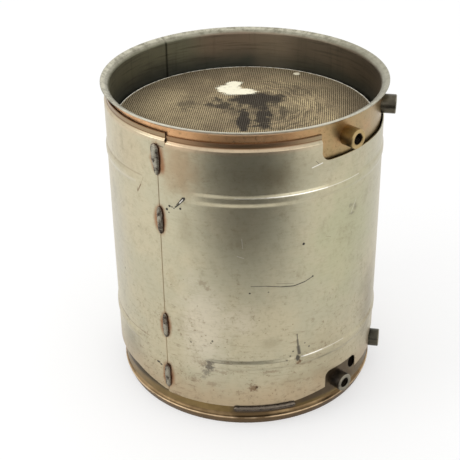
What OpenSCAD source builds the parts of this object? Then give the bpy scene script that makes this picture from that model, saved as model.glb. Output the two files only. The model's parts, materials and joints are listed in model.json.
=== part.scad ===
// Diesel particulate filter: a round filter in a steel can with clamp lips,
// sensor bosses and a two-piece heat shield. Millimetres, +Z up, the can's axis is Z
// and the outlet lip's lower face is at Z = 0. Angles turn from -Y towards +X.

/* [Can] */
// inside diameter of the rolled can
can_bore_d = 311; // [280:1:340]
// thickness of the can's sheet
can_wall = 2; // [1.5:0.1:3]
// height from the outlet lip's face to the top of the inlet lip
overall_h = 384; // [370:1:420]
// height of the can's plain lower end
can_base_z = 18; // [16:0.5:22]
// how far the inlet lip reaches out past the can
lip_reach = 8; // [6:0.5:12]
// slope of the inlet lip above level
lip_slope = 26; // [15:1:40]
// bend radius under the inlet lip
lip_bend_r = 3.5; // [2:0.5:4]
// angle of the can's own butt seam
can_seam_turn = 219; // [190:1:250]
// width of the butt seam's line
can_seam_w = 1.6; // [1:0.1:3]
// depth of the butt seam's line
can_seam_depth = 0.5; // [0.3:0.1:0.8]

/* [Filter] */
// thickness of the packed mat round the filter
mat_t = 3.5; // [3:0.5:6]
// depth of the filter's face below the inlet lip
inlet_depth = 49; // [45:1:60]
// length of the filter
filter_len = 280; // [240:1:285]
// mat stops this far from each end of the filter
mat_inset = 12; // [5:1:25]
// spacing of the drawn cells (the real ones are about a tenth of this)
cell_pitch = 17; // [15:1:24]
// thickness of the drawn cell walls
cell_wall = 4; // [3:0.5:6]
// length of the plug that closes each cell at one end
plug_len = 10; // [6:1:15]
// solid skin left round the filter
skin_t = 3; // [2:0.5:6]

/* [Outlet flange] */
// slip clearance of the flange inside the can
flange_clear = 0.1; // [0.05:0.05:0.3]
// length of the spigot inside the can
spigot_len = 10; // [6:0.5:12]
// thickness of the spigot
spigot_t = 2.2; // [1.5:0.1:3]
// step in from the spigot to the neck
neck_step = 5.4; // [4:0.2:7]
// wall of the neck
neck_t = 3; // [2:0.2:5]
// depth of the cove between the can and the outlet lip
cove_depth = 1.2; // [0.8:0.1:2]
// reach of the outlet lip past the neck
outlet_lip_reach = 8.5; // [7.5:0.5:9.5]
// height of the outlet lip's ridge
outlet_lip_h = 11.5; // [10:0.5:12.5]
// slope of the outlet lip's back above level
outlet_lip_back = 15; // [10:1:25]
// how far the outlet lip's face leans in below its ridge
outlet_lip_lean = 3.5; // [2:0.5:5]
// rounding of the outlet lip's ridge and foot
outlet_lip_round = 1.5; // [1:0.1:2]

/* [Heat shield] */
// thickness of the shield's sheet
shield_t = 1; // [0.8:0.1:1.5]
// stand-off between the can and the shield's wall
shield_gap = 2.5; // [2:0.5:6]
// clearance of the collar round the can
collar_clear = 0.2; // [0.1:0.1:0.5]
// clearance where one half laps over the other
lap_clear = 0.15; // [0.1:0.05:0.4]
// collar's top edge below the top of the inlet lip
collar_drop = 15.5; // [13:0.5:20]
// height of the collar
collar_h = 6; // [4:0.5:10]
// height of the step from collar to wall
joggle_h = 2.2; // [1.5:0.1:4]
// the wall bows out this much halfway between its ribs
wall_bow = 0.3; // [0.1:0.1:1]
// the left half sits this much higher
left_lift = 3; // [0:0.5:4]
// angle of the front seam
seam_turn = -35.5; // [-45:0.5:-33]
// angle the right half runs on under the left
lap_turn = 8; // [4:1:12]
// angle the tab runs past the seam
tab_turn = 4; // [2:0.5:6]
// height of the tab
tab_h = 13; // [11:0.5:16]
// bottom edge of the right half in front
right_base_z = 30; // [26:0.5:32]
// bottom edge of the right half at the side
right_side_z = 38.5; // [34:0.5:42]
// where the right half's bottom edge starts to rise
right_rise_x = 55; // [40:1:70]
// slope of that rise, in degrees
right_rise_a = 8; // [5:1:15]
// bottom edge of the left half
left_base_z = 44; // [40:0.5:46]
// bottom corner of the left half at the seam
left_corner_z = 33; // [31:0.5:38]
// slope of the left half's corner, in degrees
left_corner_a = 16; // [10:1:25]
// upper rib's middle below the top of the inlet lip
upper_rib_drop = 81; // [70:1:100]
// lower rib's middle height
lower_rib_z = 89; // [85:1:110]
// width of a rib at its foot
rib_w = 13; // [10:0.5:18]
// width of a rib at its crest
rib_crest_w = 7; // [4:0.5:9]
// height of a rib
rib_h = 1.3; // [0.8:0.1:2]
// ribs stop this angle short of a seam
rib_stop = 14; // [12:1:20]

/* [Notches] */
// left end of the inlet notch
inlet_notch_from = 30.3; // [26:0.5:34]
// right end of the inlet notch
inlet_notch_to = 96; // [92:1:105]
// inlet notch's lower edge below the top of the inlet lip
inlet_notch_drop = 46; // [42:1:52]
// corner radius of the inlet notch
inlet_notch_r = 11; // [6:1:14]
// width of each outlet notch, in degrees
outlet_notch_turn = 19.5; // [15:0.5:21]
// the boss stands this angle in from the notch's near end
outlet_notch_lead = 8; // [5.5:0.5:9]
// height of the outlet notches' upper edge
outlet_notch_z = 57.5; // [54:0.5:64]
// corner radius of the outlet notches
outlet_notch_r = 8; // [4:0.5:10]

/* [Bosses] */
// outside diameter of a boss
boss_d = 22; // [18:0.5:24]
// wall diameter of the threaded hole
boss_hole_d = 12.5; // [8:0.1:12.8]
// diameter of the hole in the can under a boss
can_port_d = 14; // [13:0.5:16]
// edge chamfer of a boss
boss_chamfer = 0.8; // [0.4:0.1:1.2]
// angle of the front bosses
front_boss_turn = 43.5; // [39:0.5:46]
// angle of the side bosses
side_boss_turn = 79.5; // [76:0.5:85]
// inlet bosses' height below the top of the inlet lip
inlet_boss_drop = 26; // [25:0.5:32]
// outlet bosses' height
outlet_boss_z = 36.5; // [36:0.5:42]
// reach of an inlet boss from the can
inlet_boss_reach = 16.5; // [13:0.5:24]
// reach of an outlet boss from the can
outlet_boss_reach = 14; // [12:0.5:24]

/* [Welds] */
// radius of a stitch bead
bead_r = 3.6; // [2.5:0.1:4.5]
// length of a stitch bead
bead_len = 33; // [20:1:36]
// clearance left under a bead
bead_clear = 0.3; // [0.1:0.05:0.4]
// how far a bead's middle lies past the lap's edge
bead_shift = 1; // [0.5:0.1:2]
// first bead's middle below the top of the inlet lip
bead_1_drop = 45; // [40:1:50]
// second bead's middle below the top of the inlet lip
bead_2_drop = 118; // [105:1:130]
// third bead's middle height
bead_3_z = 127; // [120:1:140]
// fourth bead's middle height
bead_4_z = 55; // [54:1:60]
// left end of the edge fillet
edge_weld_from = -5.5; // [-12:0.5:0]
// right end of the edge fillet
edge_weld_to = 20.5; // [10:0.5:22]
// height of the edge fillet
edge_weld_h = 5; // [3:0.5:6]

/* [Hidden] */
$fn = 64;
can_ir = can_bore_d / 2;
can_r = can_ir + can_wall;
lip_r = can_r + lip_reach;
filter_r = can_ir - mat_t;
filter_top = overall_h - inlet_depth;
filter_base = filter_top - filter_len;
spigot_r = can_ir - flange_clear;
neck_r = spigot_r - neck_step;
outlet_bore_r = neck_r - neck_t;
outlet_lip_r = neck_r + outlet_lip_reach;
collar_ir = can_r + collar_clear;
wall_ir = can_r + shield_gap;
left_out = shield_t + lap_clear;
collar_top = overall_h - collar_drop;
upper_rib_z = overall_h - upper_rib_drop;
inlet_boss_z = overall_h - inlet_boss_drop;
inlet_notch_z = overall_h - inlet_notch_drop;
rear_turn = seam_turn + 180;
right_r = wall_ir + shield_t;
left_r = right_r + left_out;
far_r = lip_r + 60;
bead_zs = [overall_h - bead_1_drop, overall_h - bead_2_drop, bead_3_z, bead_4_z];

function arc(cx, cz, r, from, to, n) =
    [for (i = [0:n]) let (a = from + (to - from) * i / n) [cx + r * cos(a), cz + r * sin(a)]];

// a ring or part ring of a drawn section, from one angle to another
module sweep_turn(from, to) {
    rotate([0, 0, from - 90]) rotate_extrude(angle = to - from) children();
}

// something drawn along +Z laid out radially at an angle and height
module radial(turn, z) {
    rotate([0, 0, turn]) translate([0, 0, z]) rotate([90, 0, 0]) children();
}

module can_section() {
    turned = 180 - (90 - lip_slope);
    bend_x = can_r + lip_bend_r;
    mid_r = lip_bend_r + can_wall / 2;
    tip_x = lip_r - can_wall / 2;
    run = (tip_x - bend_x - mid_r * cos(turned)) / cos(lip_slope);
    tip_dz = mid_r * sin(turned) + run * sin(lip_slope);
    bend_z = overall_h - can_wall / 2 - tip_dz;
    polygon(concat(
        [[can_r, can_base_z], [can_ir, can_base_z]],
        arc(bend_x, bend_z, lip_bend_r + can_wall, 180, turned, 4),
        arc(tip_x, bend_z + tip_dz, can_wall / 2, 90 + lip_slope, lip_slope - 90, 4),
        arc(bend_x, bend_z, lip_bend_r, turned, 180, 4)));
}

module can() {
    color([0.62, 0.55, 0.42])
    difference() {
        rotate_extrude() can_section();
        rotate([0, 0, can_seam_turn])
        translate([-can_seam_w / 2, -can_ir - can_seam_depth, can_base_z - 1])
        cube([can_seam_w, can_seam_depth + 10, overall_h]);
        for (turn = [front_boss_turn, side_boss_turn]) {
            radial(turn, inlet_boss_z) cylinder(d = can_port_d, h = far_r);
            radial(turn, outlet_boss_z) cylinder(d = can_port_d, h = far_r);
        }
    }
}

// spigot inside the can, neck, and a lip with a leaning face and a coved back
module outlet_flange() {
    spigot_top = can_base_z + spigot_len;
    neck_z = can_base_z - neck_step * 0.8;
    r = outlet_lip_round;
    ridge_x = outlet_lip_r - r;
    ridge_z = outlet_lip_h - r;
    face_a = -atan(outlet_lip_lean / (ridge_z - r));
    back_a = 90 - outlet_lip_back;
    back = [ridge_x + r * cos(back_a), ridge_z + r * sin(back_a)];
    cove_r = (back[0] - spigot_r + cove_depth) / (1 - cos(back_a));
    cove = back + cove_r * [cos(back_a), sin(back_a)];
    color([0.5, 0.42, 0.3])
    rotate_extrude()
    polygon(concat(
        [[spigot_r, spigot_top], [spigot_r - spigot_t, spigot_top], [spigot_r - spigot_t, can_base_z - 1]],
        [[outlet_bore_r, neck_z - 1], [outlet_bore_r, 0]],
        arc(ridge_x - outlet_lip_lean, r, r, -90, face_a, 3),
        arc(ridge_x, ridge_z, r, face_a, back_a, 4),
        arc(cove[0], cove[1], cove_r, 180 + back_a * 0.75, 180, 3),
        [[spigot_r - cove_depth / 2, can_base_z - cove_depth / 2], [spigot_r, can_base_z]]));
}

// squares of every second cell that lie inside the filter's skin
module cells(odd) {
    n = ceil(filter_r / cell_pitch);
    half = (cell_pitch - cell_wall) / 2;
    for (i = [-n:n], j = [-n:n]) {
        far = norm([abs(i) * cell_pitch + half, abs(j) * cell_pitch + half]);
        if ((i + j + 2 * n) % 2 == odd && far < filter_r - skin_t)
            translate([i * cell_pitch, j * cell_pitch]) square(2 * half, center = true);
    }
}

module filter_substrate() {
    color([0.68, 0.58, 0.42])
    difference() {
        translate([0, 0, filter_base]) cylinder(r = filter_r, h = filter_len);
        translate([0, 0, filter_base + plug_len]) linear_extrude(filter_len) cells(0);
        translate([0, 0, filter_base - plug_len]) linear_extrude(filter_len) cells(1);
    }
}

module support_mat() {
    color([0.86, 0.84, 0.78])
    translate([0, 0, filter_base + mat_inset])
    difference() {
        cylinder(r = can_ir, h = filter_len - 2 * mat_inset);
        translate([0, 0, -1]) cylinder(r = filter_r, h = filter_len);
    }
}

module boss(turn, z, reach) {
    c = boss_chamfer;
    root = can_r - 3;
    tall = reach + 3;
    ro = boss_d / 2;
    ri = boss_hole_d / 2;
    rotate([0, 0, turn])
    difference() {
        radial(0, z) translate([0, 0, root]) rotate_extrude()
        polygon([[ri, 0], [ro, 0], [ro, tall - c], [ro - c, tall], [ri + c, tall], [ri, tall - c]]);
        translate([0, 0, z - boss_d]) cylinder(r = can_r, h = 2 * boss_d);
    }
}

module inlet_pressure_boss() {
    color([0.6, 0.5, 0.3]) boss(front_boss_turn, inlet_boss_z, inlet_boss_reach);
}

module inlet_temperature_boss() {
    color([0.35, 0.36, 0.35]) boss(side_boss_turn, inlet_boss_z, inlet_boss_reach);
}

module outlet_pressure_boss() {
    color([0.33, 0.3, 0.28]) boss(front_boss_turn, outlet_boss_z, outlet_boss_reach);
}

module outlet_temperature_boss() {
    color([0.33, 0.33, 0.3]) boss(side_boss_turn, outlet_boss_z, outlet_boss_reach);
}

// section of a half shell: collar, step and wall, set out by some amount
module shell_section(out, lift, base_z) {
    ci = collar_ir + out;
    wi = wall_ir + out;
    t = shield_t;
    top = collar_top + lift;
    step_z = top - collar_h;
    low_z = step_z - joggle_h;
    ribs = [lower_rib_z + lift, upper_rib_z + lift];
    bow = [wall_bow, (ribs[0] + ribs[1]) / 2];
    polygon([[ci, top], [ci, step_z - t / 2], [wi, low_z - t / 2],
        [wi, ribs[1]], [wi, 0] + bow, [wi, ribs[0]], [wi, base_z],
        [wi + t, base_z], [wi + t, ribs[0]], [wi + t, 0] + bow, [wi + t, ribs[1]],
        [wi + t, low_z], [ci + t, step_z], [ci + t, top]]);
}

module rib_section(r, z) {
    sunk = shield_t * 0.6;
    foot = rib_w / 2 + sunk * (rib_w - rib_crest_w) / 2 / rib_h;
    polygon([[r - sunk, z - foot], [r + rib_h, z - rib_crest_w / 2],
        [r + rib_h, z + rib_crest_w / 2], [r - sunk, z + foot]]);
}

// a half shell with both ribs pressed out of it
module shell(from, to, rib_from, rib_to, out, lift, base_z) {
    zs = [upper_rib_z + lift, lower_rib_z + lift];
    difference() {
        union() {
            sweep_turn(from, to) shell_section(out, lift, base_z);
            for (z = zs) sweep_turn(rib_from, rib_to) rib_section(wall_ir + out + shield_t, z);
        }
        for (z = zs) sweep_turn(rib_from + 0.4, rib_to - 0.4) rib_section(wall_ir + out, z);
    }
}

// cutter for a notch with rounded corners, open on one side:
// its outline is drawn along the wall and seen from its middle
module notch(from, to, edge_z, open_z, r) {
    half = (to - from) / 2;
    turn = r / right_r * 180 / PI;
    way = sign(open_z - edge_z);
    steps = [0:15:90];
    corner = [for (a = steps) [half - turn + turn * sin(a), edge_z + way * r * (1 - cos(a))]];
    left = [for (i = [len(corner) - 1:-1:0]) [-corner[i][0], corner[i][1]]];
    outline = concat([[-half, open_z]], left, corner, [[half, open_z]]);
    radial((from + to) / 2, 0)
    translate([0, 0, right_r / 3])
    linear_extrude(right_r)
    polygon([for (p = outline) [right_r * sin(p[0]), p[1]]]);
}

module heat_shield_right() {
    color([0.8, 0.78, 0.7])
    difference() {
        shell(seam_turn - lap_turn, rear_turn + lap_turn, seam_turn + rib_stop, rear_turn - rib_stop,
            0, 0, right_base_z);
        notch(inlet_notch_from, inlet_notch_to, inlet_notch_z, overall_h + 10, inlet_notch_r);
        for (turn = [front_boss_turn, side_boss_turn])
            notch(turn - outlet_notch_lead, turn - outlet_notch_lead + outlet_notch_turn,
                outlet_notch_z, 0, outlet_notch_r);
        intersection() {
            translate([right_rise_x, 0, right_base_z]) rotate([0, -right_rise_a, 0])
            translate([0, -far_r, -far_r]) cube([2 * far_r, 2 * far_r, far_r]);
            translate([0, -far_r, 0]) cube([far_r, 2 * far_r, right_side_z]);
        }
    }
}

module heat_shield_left() {
    corner_x = right_r * sin(seam_turn);
    end_turn = seam_turn + 360;
    tab_z = collar_top + left_lift - tab_h;
    color([0.8, 0.78, 0.7])
    difference() {
        shell(rear_turn, end_turn + tab_turn, rear_turn + rib_stop, end_turn - rib_stop,
            left_out, left_lift, left_corner_z);
        sweep_turn(end_turn, end_turn + tab_turn + 5)
        translate([can_r - 20, 0]) square([60, tab_z]);
        intersection() {
            translate([corner_x, 0, left_corner_z]) rotate([0, left_corner_a, 0])
            translate([-2 * far_r, -far_r, -far_r]) cube([2 * far_r, 2 * far_r, far_r]);
            translate([-far_r, -far_r, 0]) cube([2 * far_r, 2 * far_r, left_base_z]);
        }
    }
}

// one rounded bead lying in the step of a lap seam,
// the lap being on its left for side 1 and on its right for -1
module bead(turn, z, side) {
    reach = bead_len / 2 - bead_r;
    rotate([0, 0, turn])
    translate([0, -right_r, z])
    difference() {
        translate([side * bead_shift, -left_out / 2, 0])
        rotate_extrude($fn = 24)
        polygon(concat(arc(0, -reach, bead_r, -90, 0, 3), arc(0, reach, bead_r, 0, 90, 3)));
        translate([-bead_len, -bead_clear, -bead_len]) cube(2 * bead_len);
        translate([side > 0 ? -bead_len : 0, -left_out - bead_clear, -bead_len])
        cube([bead_len, bead_len, 2 * bead_len]);
    }
}

module front_seam_welds() {
    color([0.42, 0.36, 0.32])
    for (z = bead_zs) bead(seam_turn, z, 1);
}

module rear_seam_welds() {
    color([0.42, 0.36, 0.32])
    for (z = bead_zs) bead(rear_turn, z, -1);
}

module shield_edge_weld() {
    half = edge_weld_h / 2;
    color([0.25, 0.22, 0.2])
    sweep_turn(edge_weld_from, edge_weld_to)
    polygon(concat(
        [[can_r, right_base_z], [can_r, right_base_z - edge_weld_h]],
        arc(can_r + shield_gap, right_base_z - half, half, -75, 45, 4),
        [[right_r, right_base_z]]));
}

can();
outlet_flange();
filter_substrate();
support_mat();
inlet_pressure_boss();
inlet_temperature_boss();
outlet_pressure_boss();
outlet_temperature_boss();
heat_shield_right();
heat_shield_left();
front_seam_welds();
rear_seam_welds();
shield_edge_weld();
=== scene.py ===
import bmesh
import bpy
import json
import math
from functools import reduce
from mathutils import Matrix, Vector, noise


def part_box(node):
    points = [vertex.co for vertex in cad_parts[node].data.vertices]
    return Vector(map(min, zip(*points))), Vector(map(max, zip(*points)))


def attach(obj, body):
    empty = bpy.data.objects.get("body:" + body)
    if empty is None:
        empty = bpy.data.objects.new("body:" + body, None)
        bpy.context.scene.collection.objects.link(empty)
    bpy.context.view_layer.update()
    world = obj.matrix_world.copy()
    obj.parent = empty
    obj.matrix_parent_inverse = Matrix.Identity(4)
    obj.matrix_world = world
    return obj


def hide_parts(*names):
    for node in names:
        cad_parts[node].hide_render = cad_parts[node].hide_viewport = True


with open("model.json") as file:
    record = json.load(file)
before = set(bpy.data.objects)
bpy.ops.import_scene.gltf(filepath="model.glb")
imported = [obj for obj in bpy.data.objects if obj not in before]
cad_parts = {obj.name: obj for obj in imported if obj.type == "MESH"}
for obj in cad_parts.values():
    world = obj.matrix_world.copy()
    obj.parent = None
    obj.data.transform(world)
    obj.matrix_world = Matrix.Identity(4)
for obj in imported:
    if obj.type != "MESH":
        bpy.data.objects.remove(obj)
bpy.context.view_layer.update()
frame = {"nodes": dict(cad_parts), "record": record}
scene = bpy.context.scene
scene.view_settings.view_transform = "Standard"
mm = 0.001
mergeWithin = 1e-6                              # points this close are one point
print("frame loaded, nodes:", len(frame["nodes"]))

# main sizes
filterLow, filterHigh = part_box("filter_substrate")
filterRadius = filterHigh.x
wallRadius = 0.161                              # outer face of the right half of the shield
wallArc = wallRadius / mm * math.pi / 180       # millimetres along the wall for one degree
seamTurn = -35.5                                # front seam, degrees from the front towards the right
seams = (seamTurn, seamTurn + 180)
beadHeights = (339, 266, 127, 55)               # stitches along each seam
threads = [m for m in frame["record"]["mounts"] if m["kind"] == "threaded_hole"]


def tone(red, green, blue):
    # a screen colour, 0 to 255, as linear light
    parts = []
    for value in (red, green, blue):
        v = value / 255
        parts.append(v / 12.92 if v <= 0.04045 else ((v + 0.055) / 1.055) ** 2.4)
    return (*parts, 1.0)


def tonesOf(settings):
    return {name: tone(*shade) for name, shade in settings["tones"].items()}


# nodes: a socket knows its tree, so most helpers take the tree from a socket they are given

def addNode(tree, kind, values=None, **settings):
    # sockets among the values are linked, anything else is set
    node = tree.nodes.new(kind)
    for name, value in settings.items():
        setattr(node, name, value)
    for key, value in (values or {}).items():
        if isinstance(value, bpy.types.NodeSocket):
            tree.links.new(value, node.inputs[key])
        else:
            node.inputs[key].default_value = value
    return node


def calc(operation, *values):
    tree = next(value.id_data for value in values if isinstance(value, bpy.types.NodeSocket))
    return addNode(tree, "ShaderNodeMath", dict(enumerate(values)), operation=operation).outputs[0]


def times(*values):
    return reduce(lambda a, b: calc("MULTIPLY", a, b), values)


def largest(values):
    return reduce(lambda a, b: calc("MAXIMUM", a, b), values)


def minus(a, b):
    return calc("SUBTRACT", a, b)


def scaleAdd(value, factor, plus):
    return calc("MULTIPLY_ADD", value, factor, plus)


def vectorCalc(operation, *values, output="Value"):
    node = addNode(values[0].id_data, "ShaderNodeVectorMath", dict(enumerate(values)), operation=operation)
    return node.outputs[output]


def flatLength(x, y):
    return vectorCalc("LENGTH", addNode(x.id_data, "ShaderNodeCombineXYZ", {0: x, 1: y}).outputs[0])


def fade(value, start, end, high=1.0, low=0.0):
    # low at start, high at end, eased in between
    ends = {"Value": value, "From Min": start, "From Max": end, "To Min": low, "To Max": high}
    node = addNode(value.id_data, "ShaderNodeMapRange", ends, interpolation_type="SMOOTHSTEP")
    return node.outputs["Result"]


def blendColour(mask, under, over):
    return addNode(mask.id_data, "ShaderNodeMix", {0: mask, 6: under, 7: over}, data_type="RGBA").outputs[2]


def maskOf(values, fades):
    # the product of named values, each as it is or faded from one limit to another
    return times(*[fade(values[name], *ends) if ends else values[name] for name, *ends in fades])


def layColours(look, values, colour, rows):
    # each row is the name of a colour, then the fades that make its mask
    for name, *fades in rows:
        colour = blendColour(maskOf(values, fades), colour, look[name])
    return colour


def objectSpot(tree):
    return addNode(tree, "ShaderNodeTexCoord").outputs["Object"]


def splitSpot(spot):
    return addNode(spot.id_data, "ShaderNodeSeparateXYZ", {0: spot}).outputs


def cloud(spot, scale, detail=3, roughness=0.55):
    if isinstance(scale, tuple):                # a scale for each direction draws the noise out
        spot = addNode(spot.id_data, "ShaderNodeMapping", {"Vector": spot, "Scale": scale}).outputs[0]
        scale = 1
    values = {"Vector": spot, "Scale": scale, "Detail": detail, "Roughness": roughness}
    return addNode(spot.id_data, "ShaderNodeTexNoise", values).outputs["Fac"]


def newGroup(name, takes, gives):
    group = bpy.data.node_groups.new(name, "ShaderNodeTree")
    for way, sockets in (("INPUT", takes), ("OUTPUT", dict.fromkeys(gives, 0.0))):
        for socketName, value in sockets.items():
            socket = group.interface.new_socket(name=socketName, in_out=way, socket_type="NodeSocketFloat")
            socket.default_value = value
    return group, group.nodes.new("NodeGroupInput").outputs, group.nodes.new("NodeGroupOutput").inputs


def useGroup(tree, group, values=None):
    return addNode(tree, "ShaderNodeGroup", values, node_tree=group).outputs


def plug(inputs, values):
    for key, value in values.items():
        value.id_data.links.new(value, inputs[key])


def makePlaceGroup():
    # where a point is on a round wall: degrees from the front, height and radius in millimetres
    group, takes, gives = newGroup("wallPlace", {}, ["Turn", "Height", "Radius"])
    x, y, z = splitSpot(objectSpot(group))
    plug(gives, {"Turn": calc("DEGREES", calc("ARCTAN2", x, times(y, -1.0))),
                 "Height": times(z, 1 / mm), "Radius": times(flatLength(x, y), 1 / mm)})
    return group


def makeSpotGroup():
    # one soft-edged mark on the wall, sizes in millimetres
    group, takes, gives = newGroup(
        "wallSpot",
        {"Turn": 0.0, "Height": 0.0, "At Turn": 0.0, "At Height": 0.0, "Half Width": 5.0,
         "Half Height": 5.0, "Blur": 0.5, "Ragged": 0.3, "Rough": 0.5},
        ["Mask"])
    across = times(minus(takes["Turn"], takes["At Turn"]), wallArc)
    across = calc("DIVIDE", across, takes["Half Width"])
    along = calc("DIVIDE", minus(takes["Height"], takes["At Height"]), takes["Half Height"])
    far = scaleAdd(minus(takes["Rough"], 0.5), takes["Ragged"], flatLength(across, along))
    plug(gives, {"Mask": fade(far, 1.0, minus(1.0, takes["Blur"]))})
    return group


def makeStrokeGroup():
    # one thin line on the wall from one place to another
    ends = [("Turn", "Height"), ("From Turn", "From Height"), ("To Turn", "To Height")]
    starts = {name: 0.0 for pair in ends for name in pair}
    group, takes, gives = newGroup("wallStroke", {**starts, "Half Width": 0.5}, ["Mask"])
    point, start, end = [
        addNode(group, "ShaderNodeCombineXYZ", {0: times(takes[turn], wallArc), 1: takes[height]}).outputs[0]
        for turn, height in ends]
    run = vectorCalc("SUBTRACT", end, start, output="Vector")
    reach = vectorCalc("SUBTRACT", point, start, output="Vector")
    share = calc("DIVIDE", vectorCalc("DOT_PRODUCT", reach, run), vectorCalc("DOT_PRODUCT", run, run))
    share = calc("MINIMUM", calc("MAXIMUM", share, 0.0), 1.0)
    foot = addNode(group, "ShaderNodeVectorMath", {0: run, "Scale": share}, operation="SCALE").outputs["Vector"]
    far = calc("DIVIDE", vectorCalc("DISTANCE", reach, foot), takes["Half Width"])
    plug(gives, {"Mask": fade(far, 1.0, 0.2)})
    return group


def makeGrainGroup():
    # rolled and handled sheet: broad mottling, fine grain, slow waves in the surface, upright streaks
    group, takes, gives = newGroup("sheetGrain", {"Mottle Scale": 14.0, "Grain Scale": 500.0},
                                   ["Mottle", "Grain", "Wave", "Streak"])
    spot = objectSpot(group)
    plug(gives, {"Mottle": cloud(spot, takes["Mottle Scale"], 4.0, 0.6),
                 "Grain": cloud(spot, takes["Grain Scale"], 2.0, 0.5),
                 "Wave": cloud(spot, (9, 9, 5), 1, 0.4),
                 "Streak": cloud(spot, (120, 120, 8), 3, 0.6)})
    return group


placeGroup = makePlaceGroup()
spotGroup = makeSpotGroup()
strokeGroup = makeStrokeGroup()
grainGroup = makeGrainGroup()


def valuesOf(tree, settings):
    # what varies over a surface: its place, its grain and its own noises
    spot = objectSpot(tree)
    values = dict(useGroup(tree, placeGroup).items())
    if "grain" in settings:
        mottle, grain = settings["grain"]
        values.update(useGroup(tree, grainGroup, {"Mottle Scale": mottle, "Grain Scale": grain}).items())
    values.update({name: cloud(spot, *ends) for name, ends in settings.get("noises", {}).items()})
    return values


def markMask(group, place, *values):
    # one spot or stroke; its values are in the order of the group's inputs
    values = (place["Turn"], place["Height"], *values)
    return useGroup(place["Turn"].id_data, group, dict(enumerate(values)))["Mask"]


def markMasks(group, place, rows, *edge):
    return [times(markMask(group, place, *row, *edge), strength) for *row, strength in rows]


def startMaterial(name, **sockets):
    material = bpy.data.materials.new(name)
    material.use_nodes = True
    tree = material.node_tree
    inputs = tree.nodes["Principled BSDF"].inputs
    for key, value in sockets.items():
        inputs[key].default_value = value
    return material, tree, inputs


def bumpInto(inputs, height, strength, distance):
    values = {"Height": height, "Strength": strength, "Distance": distance}
    plug(inputs, {"Normal": addNode(height.id_data, "ShaderNodeBump", values).outputs["Normal"]})


def bumpSheet(inputs, values, settings):
    # slow waves of rolled sheet, with fine grain
    lift = scaleAdd(values["Grain"], settings["grainLift"], times(values["Wave"], settings["waveLift"]))
    bumpInto(inputs, lift, settings["bump"], mm)


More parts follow.
